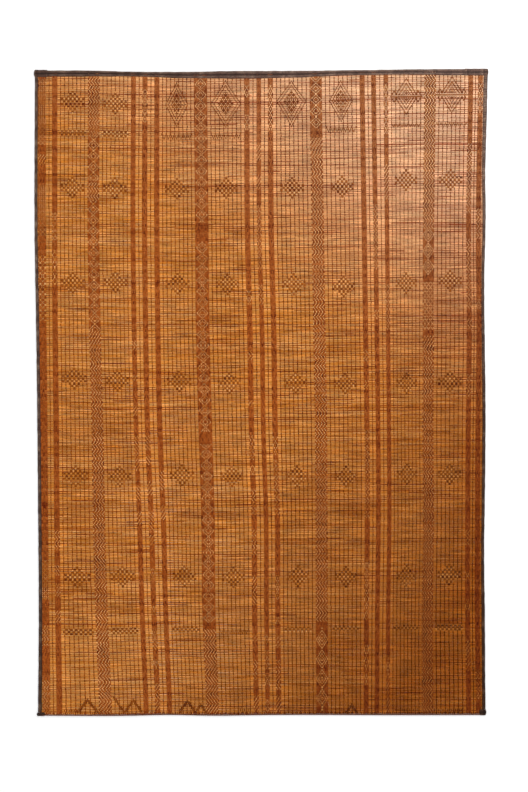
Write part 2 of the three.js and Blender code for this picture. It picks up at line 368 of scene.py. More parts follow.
def addNode(tree, kind, inputs=None, **settings):
    node = tree.nodes.new("ShaderNode" + kind)
    for key, value in settings.items():
        setattr(node, key, value)
    for key, value in (inputs or {}).items():
        if isinstance(value, bpy.types.NodeSocket):
            tree.links.new(value, node.inputs[key])
        else:
            node.inputs[key].default_value = value
    return node


# The across attribute holds the place on the loom in metres, shifted so that it stays above 0.
acrossShift = 2
acrossHalf = 1.6
glowBesideLeather = {"reach": 22, "fade": 6}


# Reeds are painted lighter close to the bands: a painted highlight, a glow along each group of bands.
def glowBesideBands(tree, gain):
    across = addNode(tree, "Attribute", attribute_name="across").outputs["Fac"]
    limits = {1: acrossShift - acrossHalf, 2: acrossShift + acrossHalf}
    share = addNode(tree, "MapRange", {0: across, **limits}).outputs[0]
    ramp = addNode(tree, "ValToRGB", {0: share})
    groups = (("leftEdge", "leftSingle"), ("leftTrioA", "leftTrioC"), ("midTrioA", "midTrioC"),
              ("rightTrioA", "rightTrioC"), ("rightSingle", "rightEdge"))
    placed = {band["weave"]: band for band in bands}
    stops = []
    for first, last in groups:
        low = placed[first]["at"] - placed[first]["width"] / 2 - glowBesideLeather["reach"]
        high = placed[last]["at"] + placed[last]["width"] / 2 + glowBesideLeather["reach"]
        fade = glowBesideLeather["fade"]
        stops += [(low - fade, 0.0), (low, 1.0), (high, 1.0), (high + fade, 0.0)]
    elements = ramp.color_ramp.elements
    elements[0].color = (0, 0, 0, 1)
    elements[1].position = 0.999
    elements[1].color = (0, 0, 0, 1)
    for u, level in stops:
        element = elements.new(min(0.998, (u * mm + acrossHalf) / (2 * acrossHalf)))
        element.color = (level, level, level, 1)
    return addNode(tree, "MapRange", {0: ramp.outputs[0], 3: 1.0, 4: gain}).outputs[0]


# Weave colours: the tone attribute picks between dark, middle and pale, and the place on the mat moves all
# three towards a painted sheen at the far right, orange at the left, and darker at the near right.
def wovenMaterial(name, look):
    material = bpy.data.materials.new(name)
    material.use_nodes = True
    tree = material.node_tree
    shader = tree.nodes["Principled BSDF"]
    tone = addNode(tree, "Attribute", attribute_name="tone").outputs["Fac"]
    place = addNode(tree, "TexCoord").outputs["Object"]
    # Painted sheen: a paler colour towards the far right stands in for light shining off the weave.
    paintedSheen = addNode(tree, "VectorMath", {0: place, 1: look["sheenDirection"]}, operation="DOT_PRODUCT")
    sheenShare = addNode(tree, "MapRange", {
        0: paintedSheen.outputs["Value"], 1: look["sheenFrom"], 2: look["sheenTo"],
    }, interpolation_type="SMOOTHSTEP").outputs[0]
    # Colours turn darker towards the near right.
    nearRight = addNode(tree, "VectorMath", {0: place, 1: look["nearRightDirection"]}, operation="DOT_PRODUCT")
    nearRightShare = addNode(tree, "MapRange", {
        0: nearRight.outputs["Value"], 1: look["nearRightFrom"], 2: look["nearRightTo"],
    }).outputs[0]
    base = addNode(tree, "Mix", {0: sheenShare, 6: colour(look["middle"]), 7: colour(look["paintedSheen"])},
                   data_type="RGBA").outputs[2]
    base = addNode(tree, "Mix", {0: nearRightShare, 6: base, 7: colour(look["nearRight"])},
                   data_type="RGBA").outputs[2]
    darker = addNode(tree, "MapRange", {0: tone, 1: 0.5, 2: 0.0}).outputs[0]
    paler = addNode(tree, "MapRange", {0: tone, 1: 0.5, 2: 1.0, 4: look["palest"]}).outputs[0]
    base = addNode(tree, "Mix", {0: darker, 6: base, 7: colour(look["dark"])},
                   data_type="RGBA", blend_type="MULTIPLY").outputs[2]
    pale = addNode(tree, "Mix", {0: nearRightShare, 6: colour(look["pale"]), 7: colour(look["paleNearRight"])},
                   data_type="RGBA").outputs[2]
    base = addNode(tree, "Mix", {0: paler, 6: base, 7: pale}, data_type="RGBA").outputs[2]
    # Painted highlight: reeds near the bands are scaled lighter.
    if look.get("beside"):
        base = addNode(tree, "VectorMath", {0: base, 3: glowBesideBands(tree, look["beside"])},
                       operation="SCALE").outputs[0]
    # Fine grain along the fibres, streaks a few cells long, and broad stains a hand wide.
    for layer, detail in (("stain", 2.0), ("streak", 1.0), ("grain", 3.0)):
        scaled = addNode(tree, "Mapping", {0: place, 3: [1 / (size * mm) for size in look[layer]]})
        noise = addNode(tree, "TexNoise", {0: scaled.outputs[0], 2: 1.0, 3: detail}).outputs[0]
        depth = look[layer + "Depth"]
        limits = {1: 0.3, 2: 0.7, 3: 1 - depth, 4: 1 + depth}
        shade = addNode(tree, "MapRange", {0: noise, **limits}).outputs[0]
        base = addNode(tree, "VectorMath", {0: base, 3: shade}, operation="SCALE").outputs[0]
    bump = addNode(tree, "Bump", {0: look["bump"], 1: 0.4 * mm, "Height": noise}).outputs[0]
    tree.links.new(base, shader.inputs["Base Color"])
    tree.links.new(bump, shader.inputs["Normal"])
    shader.inputs["Roughness"].default_value = look["roughness"]
    shader.inputs["Specular IOR Level"].default_value = look["shine"]
    return material


# Looks. Sizes of grain, streak and stain are in mm. Grain finer than a pixel is drawn coarser.
# Reeds split and dried: matt straw to orange, with streaks along each reed, a painted sheen towards the far
# right, and darker towards the near right.
reedLook = {
    "middle": "#CC802E", "paintedSheen": "#E6B894", "nearRight": "#9B520E",
    "dark": "#A05A30", "pale": "#F0C488", "paleNearRight": "#B87A34", "palest": 0.4,
    "sheenDirection": [0.37, 0.5, 0], "sheenFrom": 0.3, "sheenTo": 1.6,
    "nearRightDirection": [0.55, -0.36, 0], "nearRightFrom": 0.1, "nearRightTo": 1.3,
    "grain": [28, 0.9, 0.9], "grainDepth": 0.10,
    "stain": [210, 110, 200], "stainDepth": 0.13,
    "streak": [120, 6, 200], "streakDepth": 0.36, "beside": 1.15,
    "bump": 0.3, "roughness": 0.5, "shine": 0.05,
}
# Goat leather tanned red-brown and cut into strips: dull and a little blotched; its tone follows the reeds
# below, painted rib shade included.
leatherLook = {
    "middle": "#984A15", "paintedSheen": "#94572F", "nearRight": "#702F08",
    "dark": "#9C6440", "pale": "#C8824A", "paleNearRight": "#A0602A", "palest": 0.4,
    "sheenDirection": [0.37, 0.5, 0], "sheenFrom": 0.1, "sheenTo": 1.5,
    "nearRightDirection": [0.55, -0.36, 0], "nearRightFrom": 0.1, "nearRightTo": 1.3,
    "grain": [1.6, 2.4, 1.6], "grainDepth": 0.16,
    "stain": [90, 160, 200], "stainDepth": 0.10,
    "streak": [14, 9, 200], "streakDepth": 0.24,
    "bump": 0.5, "roughness": 0.55, "shine": 0.05,
}
# Reed left bare between floats of leather: paler and cleaner than the open field.
splintLook = dict(reedLook, pale="#F6C488", paleNearRight="#D0924E", palest=0.75, beside=None, streakDepth=0.2)
# Single strips between the bands: thin lines, dark brown and uneven.
lineLook = dict(leatherLook, middle="#803400", paintedSheen="#74370E", nearRight="#4A1900",
                streak=[9, 13, 200], streakDepth=0.36)
# Strips of the figures: the same leather, a little browner than the bands.
figureLook = dict(leatherLook, middle="#8E480E", paintedSheen="#8C5026", nearRight="#66330A")
# Leather waxed and rolled over the edges: near black-brown, with a low shine. Its pale tones are painted
# highlights on the crowns, and the pale whip stitches; its dark tones are painted shade in grooves and
# creases.
rolledLook = {
    "middle": "#4C362C", "paintedSheen": "#5E473D", "nearRight": "#2E1606",
    "dark": "#6A5448", "pale": "#C0A890", "paleNearRight": "#8A6A50", "palest": 0.45,
    "sheenDirection": [0.3, 0.3, 0], "sheenFrom": 0.3, "sheenTo": 1.0,
    "nearRightDirection": [0.2, -0.45, 0], "nearRightFrom": -0.6, "nearRightTo": 1.2,
    "grain": [9, 5.0, 5.0], "grainDepth": 0.5,
    "stain": [30, 30, 30], "stainDepth": 0.18,
    "streak": [70, 6, 6], "streakDepth": 0.15,
    "bump": 0.8, "roughness": 0.5, "shine": 0.14,
}
# Leather twisted into cord: red-brown, with a painted highlight on the crown of each strand.
cordLook = dict(rolledLook, middle="#6E3012", paintedSheen="#6E3012", nearRight="#5A280E", pale="#B0704A")

reedMaterial = wovenMaterial("dry palm reeds split lengthways", reedLook)
stripMaterial = wovenMaterial("goat leather strips cut by hand", leatherLook)
splintMaterial = wovenMaterial("pale reed splints between leather floats", splintLook)
lineMaterial = wovenMaterial("narrow dark brown goat leather strips", lineLook)
figureMaterial = wovenMaterial("brown leather strips of the figures", figureLook)
rolledMaterial = wovenMaterial("dark waxed leather rolled over the edge", rolledLook)
cordMaterial = wovenMaterial("red-brown leather twisted into cord", cordLook)
print("materials made")


# Reeds: split stalks lying side by side across the whole mat.
reeds = {
    "section": np.array([[-0.46, 0], [-0.28, 1.4], [0.28, 1.4], [0.46, 0], [0.28, -1.4], [-0.28, -1.4]]),
    "middleHeight": 2.7,
    "unevenHeight": 0.16,
    "unevenThick": 0.05,
    "tucked": 12,  # how far the ends reach into the side bindings
}
v = np.repeat(reedY[:, None], segmentCount + 1, axis=1)
leftEnd = edgeAt("leftSide", 1, reedY) + edgeAt("leftSide", 2, reedY) - reeds["tucked"]
rightEnd = edgeAt("rightSide", 1, reedY) - edgeAt("rightSide", 2, reedY) + reeds["tucked"]
x = leftEnd[:, None] + (rightEnd - leftEnd)[:, None] * cutShare
lift = reeds["unevenHeight"] * chance.standard_normal((reedCount, 1, 1)).clip(-1.5, 1.5)
thick = 1 + reeds["unevenThick"] * chance.uniform(-1, 1, (reedCount, 1))
around = len(reeds["section"])
sectionY = reeds["section"][:, 0] * weave["pitch"]
ringV = v[:, :, None] + sectionY[None, None, :]
ringZ = reeds["middleHeight"] + reeds["section"][:, 1][None, None, :] * thick[:, :, None] + lift
ringZ = np.repeat(ringZ, segmentCount + 1, axis=1)
ringX = np.repeat(x[:, :, None], around, axis=2)
coords = settle(ringX.ravel(), ringV.ravel(), ringZ.ravel())
oneReed = unitTube(segmentCount + 1, around)
quads = oneReed[None, :, :] + (np.arange(reedCount) * (segmentCount + 1) * around)[:, None, None]
segmentOf = (oneReed // around).min(axis=1).clip(0, segmentCount - 1)
faceTone = reedTone[:, segmentOf]
reedMesh = meshFrom("split_reeds", coords, quads.reshape(-1, 4), faceTone.clip(0, 1).ravel())
# The across attribute places the painted highlight beside the bands.
loomU = np.linspace(-1600, 1600, 161)
across = np.array([
    np.interp(x[k], columnX(loomU, np.full(len(loomU), reedY[k])), loomU) for k in range(reedCount)
])
layer = reedMesh.attributes.new("across", "FLOAT", "POINT")
layer.data.foreach_set("value", np.repeat(across.ravel() * mm + acrossShift, around))
reedField = addPiece("split_reeds", reedMesh, reedMaterial, "woven_field")
print("reeds laid")


# Charts say where leather lies over the reeds, True for leather. c counts strips from a
# band's middle and v is the height on the mat in mm.
def diamondChain(c, v, spec):
    offset = (v - spec["centre"] + spec["tall"] / 2) % spec["tall"] - spec["tall"] / 2
    d = np.abs(c) + np.abs(offset) / spec["rise"]
    over = np.ones(d.shape, bool)
    for ring in spec["rings"]:
        over &= np.abs(d - ring) >= spec.get("thread", 0.5)
    return over


def zigzag(c, v, spec):
    leg, rise = spec["leg"], spec["rise"]
    path = np.round(np.abs((v / leg) % 2 - 1) * leg / rise)
    return np.floor(c - path) % spec["every"] != 0


def slant(c, v, spec):
    return np.floor(c - np.round(v / spec["rise"])) % spec["every"] != 0


def lattice(c, v, spec):
    path = np.round(v / spec["rise"])
    return (np.floor(c - path) % spec["every"] != 0) & (np.floor(c + path) % spec["every"] != 0)


diamonds = {"chart": diamondChain, "tall": 76.3, "rise": 6.9, "rings": (2.8, 5.6), "thread": 0.48}
bigDiamonds = {"chart": diamondChain, "tall": 138, "rise": 11, "centre": -1869, "rings": (1.3, 3.6, 5.9)}
beads = {"chart": diamondChain, "tall": 60, "rise": 12, "centre": 0, "rings": (0.0, 2.45)}
zigzags = {"chart": zigzag, "leg": 32, "rise": 9.8, "every": 3}
slants = {"chart": slant, "rise": 11, "every": 3}
backSlants = {"chart": slant, "rise": -9.8, "every": 3}
nets = {"chart": lattice, "rise": 9.8, "every": 4}
mottles = {"chart": lattice, "rise": 7.4, "every": 4}

# Figured stretches of each band, from and to a height. What lies between them is plain.
stretches = {
    "first": [
        (2300, 1800, dict(zigzags, leg=29)), (1800, 1465, dict(diamonds, centre=1728)),
        (1465, 1346, zigzags), (1346, 436, dict(diamonds, centre=975)), (436, 331, slants),
        (331, -790, dict(zigzags, leg=33)), (-790, -1190, dict(zigzags, leg=37)),
        (-1190, -1640, dict(zigzags, leg=47)), (-1640, -1757, slants),
        (-1757, -1880, dict(zigzags, leg=30)), (-1880, -2100, dict(zigzags, leg=44)),
        (-2100, -2300, dict(zigzags, leg=72)),
    ],
    "second": [
        (2300, 1190, dict(diamonds, centre=2162)), (1060, -270, dict(diamonds, centre=2162)),
        (-360, -1610, dict(diamonds, centre=2162)), (-1660, -1840, dict(zigzags, leg=50)),
        (-1840, -2300, dict(zigzags, leg=68)),
    ],
    "third": [
        (2300, 1850, dict(diamonds, centre=2046, tall=79)), (1780, 1680, slants),
        (1680, 480, dict(zigzags, leg=35)), (480, 400, backSlants), (400, 285, slants),
        (285, -860, dict(zigzags, leg=37)), (-860, -1610, dict(zigzags, leg=43)),
        (-1650, -2300, bigDiamonds),
    ],
    "fourth": [
        (2300, 1135, dict(zigzags, leg=35)),
        (1135, 815, dict(bigDiamonds, tall=112, rise=9.3, centre=870)), (765, 430, nets), (390, 290, slants),
        (290, -860, dict(zigzags, leg=33)), (-860, -2300, dict(zigzags, leg=40)),
    ],
    "leftEdge": [
        (2190, 1730, mottles), (1661, 1591, slants), (1451, 1100, mottles),
        (960, 500, dict(mottles, every=5)), (-1174, -1454, mottles),
        (-1629, -1769, dict(zigzags, leg=24)), (-2010, -2250, dict(zigzags, leg=30)),
    ],
    "leftSingle": [
        (1262, 1066, nets), (996, 751, dict(beads, tall=60)), (-964, -1104, zigzags),
        (-1209, -1279, backSlants), (-1335, -1433, slants), (-1524, -1608, slants),
    ],
    "leftTrioA": [
        (366, 296, zigzags), (121, 86, slants), (-89, -159, slants), (-299, -430, backSlants),
        (-430, -544, slants), (-649, -754, backSlants), (-824, -929, slants),
    ],
    "leftTrioB": [
        (2130, 1892, beads), (-299, -404, backSlants), (-439, -509, backSlants), (-614, -719, slants),
        (-824, -964, backSlants), (-999, -1069, slants), (-1230, -1314, beads), (-1489, -1559, beads),
        (-1664, -1734, dict(beads, tall=70)), (-1734, -1804, backSlants),
        (-1874, -1944, dict(beads, tall=70)), (-2035, -2224, dict(zigzags, leg=60)),
    ],
    "leftTrioC": [(-544, -684, backSlants), (-789, -894, slants)],
    "midTrioA": [
        (2151, 2067, beads), (1941, 1836, beads), (716, 611, beads), (296, 226, zigzags),
        (-54, -103, slants), (-299, -474, dict(zigzags, leg=24)), (-509, -579, beads), (-684, -859, zigzags),
        (-964, -1139, zigzags), (-1279, -1400, slants), (-1400, -1489, backSlants), (-1685, -1748, slants),
        (-1874, -2014, dict(zigzags, leg=40)), (-2119, -2240, slants),
    ],
    "midTrioB": [
        (1731, 1626, slants), (1521, 1416, slants), (1311, 856, dict(zigzags, leg=26)), (751, 611, zigzags),
        (-1692, -1769, dict(beads, centre=-1730, tall=77)), (-1804, -1944, zigzags), (-1979, -2049, beads),
        (-2154, -2240, nets),
    ],
    "midTrioC": [
        (2151, 1836, dict(beads, tall=62)), (-313, -439, dict(beads, tall=62)), (-474, -859, zigzags),
        (-1279, -1454, dict(beads, tall=62)), (-1576, -1622, beads), (-1685, -1790, slants),
        (-1874, -2084, dict(zigzags, leg=70)), (-2119, -2240, slants),
    ],
    "rightTrioA": [
        (296, 212, zigzags), (86, 16, zigzags), (-264, -894, dict(zigzags, leg=20)),
        (-1174, -1594, dict(beads, tall=58)), (-1769, -2049, dict(beads, tall=90, rise=18)),
    ],
    "rightTrioB": [(1311, 856, dict(zigzags, leg=20)), (576, 506, zigzags)],
    "rightTrioC": [
        (2151, 1801, dict(beads, tall=62)), (1591, 1346, slants), (751, 436, dict(zigzags, leg=24)),
        (-1839, -2000, dict(beads, tall=80, rise=16)), (-2000, -2240, slants),
    ],
    "rightSingle": [
        (1731, 1241, dict(zigzags, leg=28)), (1066, 576, zigzags), (506, 436, zigzags), (121, -54, zigzags),
        (-964, -1069, zigzags), (-1244, -1314, beads), (-1454, -1524, beads), (-1734, -1950, slants),
    ],
    "rightEdge": [
        (2151, 1941, beads), (1276, 1066, zigzags), (646, 576, beads), (-1944, -2154, zigzags),
    ],
}


def bandOver(name, c, v):
    over = np.ones(c.shape, bool)
    for high, low, spec in stretches[name]:
        here = (v <= high) & (v > low)
        over = np.where(here, spec["chart"](c, v, spec), over)
    return over


# Turns a chart into floats: runs of leather down each strip, at most a few reeds long.
def floatsOf(over, longest):
    runs = []
    for k in range(over.shape[0]):
        reed = 0
        limit = longest - 2 * (k % 2)
        while reed < over.shape[1]:
            if not over[k, reed]:
                reed += 1
                continue
            length = 1
            while length < limit and reed + length < over.shape[1] and over[k, reed + length]:
                length += 1
            runs.append((k, reed, length))
            limit = longest
            reed += length
    return np.array(runs).reshape(-1, 3)


# Every float: how much narrower and shorter than its place, how tall, and its spread of tone.
floats = {"width": (0.9, 1.0), "gap": 0.15, "tall": 2.0, "unevenTall": (0.88, 1.05),
          "fromReeds": 0.5, "spread": 0.1}


# Places, sizes and tones of the floats of a chart laid at u, with its own column of strips.
def laidFloats(over, columns, first, wide, longest, height, tone):
    runs = floatsOf(over, longest)
    n = len(runs)
    u = columns[runs[:, 0]]
    v = weave["top"] - (first + runs[:, 1] + runs[:, 2] / 2) * weave["pitch"]
    at = np.stack([u, v, np.full(n, height)], axis=1)
    size = np.stack([
        wide * chance.uniform(*floats["width"], n),
        (runs[:, 2] - floats["gap"]) * weave["pitch"],
        floats["tall"] * chance.uniform(*floats["unevenTall"], n),
    ], axis=1)
    # Floats take part of the reed tone below them, painted rib shade included.
    tone = tone + floats["fromReeds"] * (streakAt(u, v) - 0.5)
    return at, size, tone + floats["spread"] * chance.standard_normal(n)


def joined(parts):
    at, size, tone = (np.concatenate([part[k] for part in parts]) for k in range(3))
    return at, size, tone.clip(0, 1)


# Strips of the figures: a wide one lies over the place of two thin ones.
wideStrip = 14.7
thinStrip = wideStrip / 2
filling = {"rise": 10.5, "every": 4}


# Figures in the open panels, drawn about their own middle in mm. Each chart gives where its
# leather is, and where it takes the place of the thin lines.
def chequers(x, y, spec):
    wide, tall = spec["check"]
    chequer = (np.floor(x / wide + 0.5) + np.floor(y / tall + 0.5)) % 2 == 0
    core = np.abs(x) / spec["half"] + np.abs(y) / spec["high"] <= 1
    arms = (np.abs(x) <= spec["arm"]) & (np.abs(y) <= spec["armHigh"])
    return chequer & (core | arms), core


def nestedDiamond(x, y, spec):
    d = np.abs(x) / spec["half"] + np.abs(y) / np.where(y > 0, spec["up"], spec["down"])
    over = np.zeros(d.shape, bool)
    for ring in spec["rings"]:
        over |= np.abs(d - ring) < 3.7 / spec["half"]
    over |= (d < spec["core"]) & lattice(np.round(x / thinStrip), y, filling)
    over |= (np.abs(y) < spec["line"]) & (d < 1)
    return over, d < 1


def crowns(x, y, spec):
    rise = np.abs(y)
    d = np.abs(x) / spec["half"] + rise / spec["up"]
    over = (np.abs(d - 1) < 0.06) | (np.abs(d - 0.72) < 0.06)
    over |= (d < 0.5) & lattice(np.round(x / thinStrip), y, filling)
    side = np.abs(np.abs(x) - 84) / 24 + rise / 46
    over |= (np.abs(side - 0.9) < 0.16) | (side < 0.3)
    return (over & (rise > 9)) | ((rise < 5) & (np.abs(x) < 112)), d < 1


def nowhere(x):
    return np.zeros(x.shape, bool)


def zigzagRow(x, y, spec):
    tooth = np.abs((x + wideStrip) % (2 * wideStrip) - wideStrip)
    return np.abs(y - spec["steep"] * (tooth - thinStrip)) < 7.5, nowhere(x)


def chequerRow(x, y, spec):
    wide, tall = spec["check"]
    chequer = (np.floor(x / wide + 0.5) + np.floor(y / tall + 0.5)) % 2 == 0
    return chequer & (np.abs(y) < 1.5 * tall), np.abs(y) < 19


def dashRow(x, y, spec):
    return (np.floor(x / thinStrip + 0.5) % 2 == 0) & (np.abs(y) < 9), nowhere(x)


def stroke(x, y, spec):
    step = spec["step"]
    return np.abs(x * spec["slope"] + np.floor(y / step) * step + step / 2) < spec["thick"], nowhere(x)


def peak(x, y, spec):
    return stroke(np.abs(x), y, spec)


small = {"chart": chequers, "check": (wideStrip, 17.15), "half": 76, "high": 84, "arm": 88, "armHigh": 27,
         "size": (96, 90), "strip": wideStrip, "tone": 0.5}
nested = {"chart": nestedDiamond, "half": 104, "up": 160, "down": 160, "rings": (1.0, 0.8),
          "core": 0.6, "line": 0, "size": (112, 185), "strip": thinStrip, "tone": 0.4}
crown = {"chart": crowns, "half": 80, "up": 124, "size": (114, 134), "strip": thinStrip, "tone": 0.46}
toothRow = {"chart": zigzagRow, "steep": 1.6, "size": (106, 22), "strip": thinStrip, "tone": 0.5}
zagRow = {"chart": zigzagRow, "steep": 2, "size": (106, 24), "strip": thinStrip, "tone": 0.4}
chequeredRow = {"chart": chequerRow, "check": (wideStrip, 14), "size": (96, 22), "strip": wideStrip,
                "tone": 0.5}
edgePeak = {"chart": peak, "slope": 1.45, "step": 14, "thick": 15, "size": (62, 92),
            "strip": thinStrip, "tone": 0.4}
edgeStroke = dict(edgePeak, chart=stroke, thick=14, size=(50, 60))
edgeDashes = {"chart": dashRow, "size": (50, 10), "strip": thinStrip, "tone": 0.4}

# One row of figures after another, panel by panel from the left: aside, height, figure.
figureRows = [
    [(0, 2032, small), (0, 2022, small),
     (0, 2020, dict(nested, half=78, up=150, down=150, rings=(1.0, 0.74), core=0.55)),
     (0, 2020, nested), (0, 2037, dict(nested, half=100, up=138, down=175)),
     (0, 2037, dict(nested, half=80, up=140, down=140, rings=(1.0, 0.75), line=4)),
     (0, 2062, crown), (0, 2070, crown)],
    [(0, 1815, chequeredRow), (0, 1810, chequeredRow), (0, 1796, zagRow), (0, 1796, zagRow),
     None, (0, 1838, zagRow), (0, 1862, toothRow), (0, 1860, toothRow)],
    [(0, 1430, small), (0, 1430, small), (0, 1430, small), (0, 1430, small),
     (0, 1430, small), (0, 1437, small), (0, 1476, small), (0, 1476, small)],
    [(0, 765, small), (0, 775, small), (0, 765, small), (0, 758, small),
     (0, 758, small), (0, 737, small), (0, 758, small), (0, 772, small)],
    [(0, 96, small), (0, 86, small), (0, 79, small), (0, 65, small),
     (0, 65, small), (0, 58, small), (0, 58, small), (0, 69, small)],
    [(0, -586, small), (0, -586, small), (0, -579, small), (0, -586, small),
     (0, -589, small), (0, -593, small), (0, -579, small), (0, -579, small)],
    [(0, -1293, small), (0, -1286, small), (0, -1286, small), (0, -1293, small),
     (0, -1290, small), (0, -1293, small), (0, -1286, small), (0, -1279, small)],
    [(0, -1676, chequeredRow), (0, -1666, chequeredRow), (0, -1660, chequeredRow), (0, -1672, zagRow),
     (0, -1662, chequeredRow), (0, -1655, chequeredRow), (0, -1650, chequeredRow), (0, -1648, chequeredRow)],
    [(42, -2150, edgePeak), (-62, -2180, edgeStroke), (-10, -2160, edgePeak), None,
     None, (40, -2190, edgePeak), (-40, -2224, edgeDashes), (-60, -2226, edgeDashes)],
    [(-66, -2224, edgeDashes), (40, -2152, edgePeak), (84, -2185, edgePeak), (60, -2222, edgeDashes),
     None, None, (60, -2224, edgeDashes), (40, -2226, edgeDashes)],
]
panelMiddles = [
    (band["at"] + band["width"] / 2 + following["at"] - following["width"] / 2) / 2
    for band, following in zip(bands, bands[1:]) if band["lines"] > 1
]
figures = [
    (middle + figure[0], figure[1], figure[2])
    for figureRow in figureRows for middle, figure in zip(panelMiddles, figureRow) if figure
]


# Thin lines between the bands: one strip each, over four reeds at a time.
def linePlaces():
    places = []
    for band, following in zip(bands, bands[1:]):
        start = band["at"] + band["width"] / 2
        end = following["at"] - following["width"] / 2
        count = band["lines"]
        step = (end - start) / (count + 0.5)
        if count == 1:
            places.append((start + end) / 2)
        else:
            places += [start + (0.75 + k) * step for k in range(count)]
    return np.array(places)


lines = {
    "over": 4, "width": 7.2, "length": 0.9, "tall": 1.6, "height": 4.15, "stray": 0.7, "spread": 0.12,
    # Where they have gone darker: middle across and along, half sizes, and how much.
    "darkened": [(100, 0, 600, 3000, 0.34), (1300, -1800, 500, 900, 0.34)],
}
lineX = linePlaces()
floatLength = lines["over"] * weave["pitch"]
u, r = np.meshgrid(lineX, np.arange(reedCount // lines["over"]), indexing="ij")
shift = np.arange(len(lineX))[:, None] % 2 * 0.5
v = weave["top"] - (r + 0.5 + shift) * floatLength
v = v.clip(weave["bottom"] + 0.4 * floatLength, weave["top"])
u, v = u.ravel(), v.ravel()
free = np.ones(len(u), bool)
for middle, height, spec in figures:
    halfWide, halfHigh = spec["size"]
    near = (np.abs(u - middle) < halfWide) & (np.abs(v - height) < halfHigh)
    free &= ~(near & spec["chart"](u - middle, v - height, spec)[1])
u, v = u[free], v[free]
count = len(u)
strayed = u + lines["stray"] * chance.standard_normal(count)
at = np.stack([strayed, v, np.full(count, lines["height"])], axis=1)
size = np.stack([
    lines["width"] * chance.uniform(0.86, 1.08, count),
    lines["length"] * floatLength * chance.uniform(0.95, 1.03, count),
    lines["tall"] * chance.uniform(0.9, 1.1, count),
], axis=1)
# Lines take half the reed tone below them, painted rib shade included.
tone = 0.5 + 0.5 * (streakAt(u, v) - 0.5) + lines["spread"] * chance.standard_normal(count)
for middleU, middleV, wide, tall, change in lines["darkened"]:
    tone = tone - change * np.exp(-((u - middleU) / wide) ** 2 - ((v - middleV) / tall) ** 2)
lineMesh = stamp("thin_lines", unitStitch(0.66, 0.88), at, size, tone.clip(0, 1))
thinLines = addPiece("thin_lines", lineMesh, lineMaterial, "woven_field")
print("lines woven")

# The bands. Where a chart leaves the leather out, a pale splint of reed shows as a thread.
# Strips are wider than their spacing, so they close over the reeds between them.
bandFloats = {"wideFrom": 80, "cover": 1.5, "longest": 5, "height": 4.2, "leather": 0.42}
threadFloats = {"bandCover": 0.7, "figureCover": 0.5, "longest": 3, "height": 4.15,
                "bandTone": 0.68, "figureTone": 0.6}
darkSpot = {"x": -1530, "y": -792, "size": 14, "darker": 1.2}
wideFrom = bandFloats["wideFrom"]
groups = {
    "wide_bands": [band for band in bands if band["width"] > wideFrom],
    "narrow_bands_left": [band for band in bands if band["width"] < wideFrom and band["at"] < 0],
    "narrow_bands_right": [band for band in bands if band["width"] < wideFrom and band["at"] > 0],
}
threadParts = []
for name, chosen in groups.items():
    parts = []
    for band in chosen:
        cover = bandFloats["cover"]
        step = band["width"] / (band["strips"] - 1 + cover)
        c = np.arange(band["strips"]) - (band["strips"] - 1) / 2
        cc, vv = np.meshgrid(c, reedY, indexing="ij")
        over = bandOver(band["weave"], cc, vv)
        columns = band["at"] + c * step
        level = band.get("leather", bandFloats["leather"])
        parts.append(laidFloats(over, columns, 0, cover * step, bandFloats["longest"],
                                bandFloats["height"], level))
        level = band.get("threads", threadFloats["bandTone"])
        threadParts.append(laidFloats(~over, columns, 0, threadFloats["bandCover"] * step,
                                      threadFloats["longest"], threadFloats["height"], level))
    at, size, tone = joined(parts)
    away = (at[:, 0] - darkSpot["x"]) ** 2 + (at[:, 1] - darkSpot["y"]) ** 2
    spot = darkSpot["darker"] * np.exp(-away / darkSpot["size"] ** 2)
    mesh = stamp(name, unitStitch(0.7, 0.84), at, size, (tone - spot).clip(0, 1))
    addPiece(name, mesh, stripMaterial, "woven_field")
print("bands woven")

# The figures, strip by strip.
figureFloats = {"wideCover": 1.2, "thinCover": 1.05, "longest": 4, "height": 4.35, "darker": 0.06}
parts = []
for middle, height, spec in figures:
    halfWide, halfHigh = spec["size"]
    reach = int(halfWide / spec["strip"])
    offsets = np.arange(-reach, reach + 1) * spec["strip"]
    first = max(0, int((weave["top"] - height - halfHigh) / weave["pitch"]))
    last = min(reedCount, int((weave["top"] - height + halfHigh) / weave["pitch"]))
    xx, vv = np.meshgrid(offsets, reedY[first:last], indexing="ij")
    over, inside = spec["chart"](xx, vv - height, spec)
    columns = middle + offsets
    isWide = spec["strip"] > thinStrip
    wide = spec["strip"] * figureFloats["wideCover" if isWide else "thinCover"]
    parts.append(laidFloats(over, columns, first, wide, figureFloats["longest"],
                            figureFloats["height"], spec["tone"] - figureFloats["darker"]))
    if isWide:
        wide = threadFloats["figureCover"] * spec["strip"]
        threadParts.append(laidFloats(~over & inside, columns, first, wide, threadFloats["longest"],
                                      threadFloats["height"], threadFloats["figureTone"]))
at, size, tone = joined(parts)
figureMesh = stamp("panel_figures", unitStitch(0.82, 0.86), at, size, tone)
panelFigures = addPiece("panel_figures", figureMesh, figureMaterial, "woven_field")
at, size, tone = joined(threadParts)
threadMesh = stamp("pale_threads", unitStitch(0.78, 0.86), at, size, tone)
paleThreads = addPiece("pale_threads", threadMesh, splintMaterial, "woven_field")
print("figures placed")


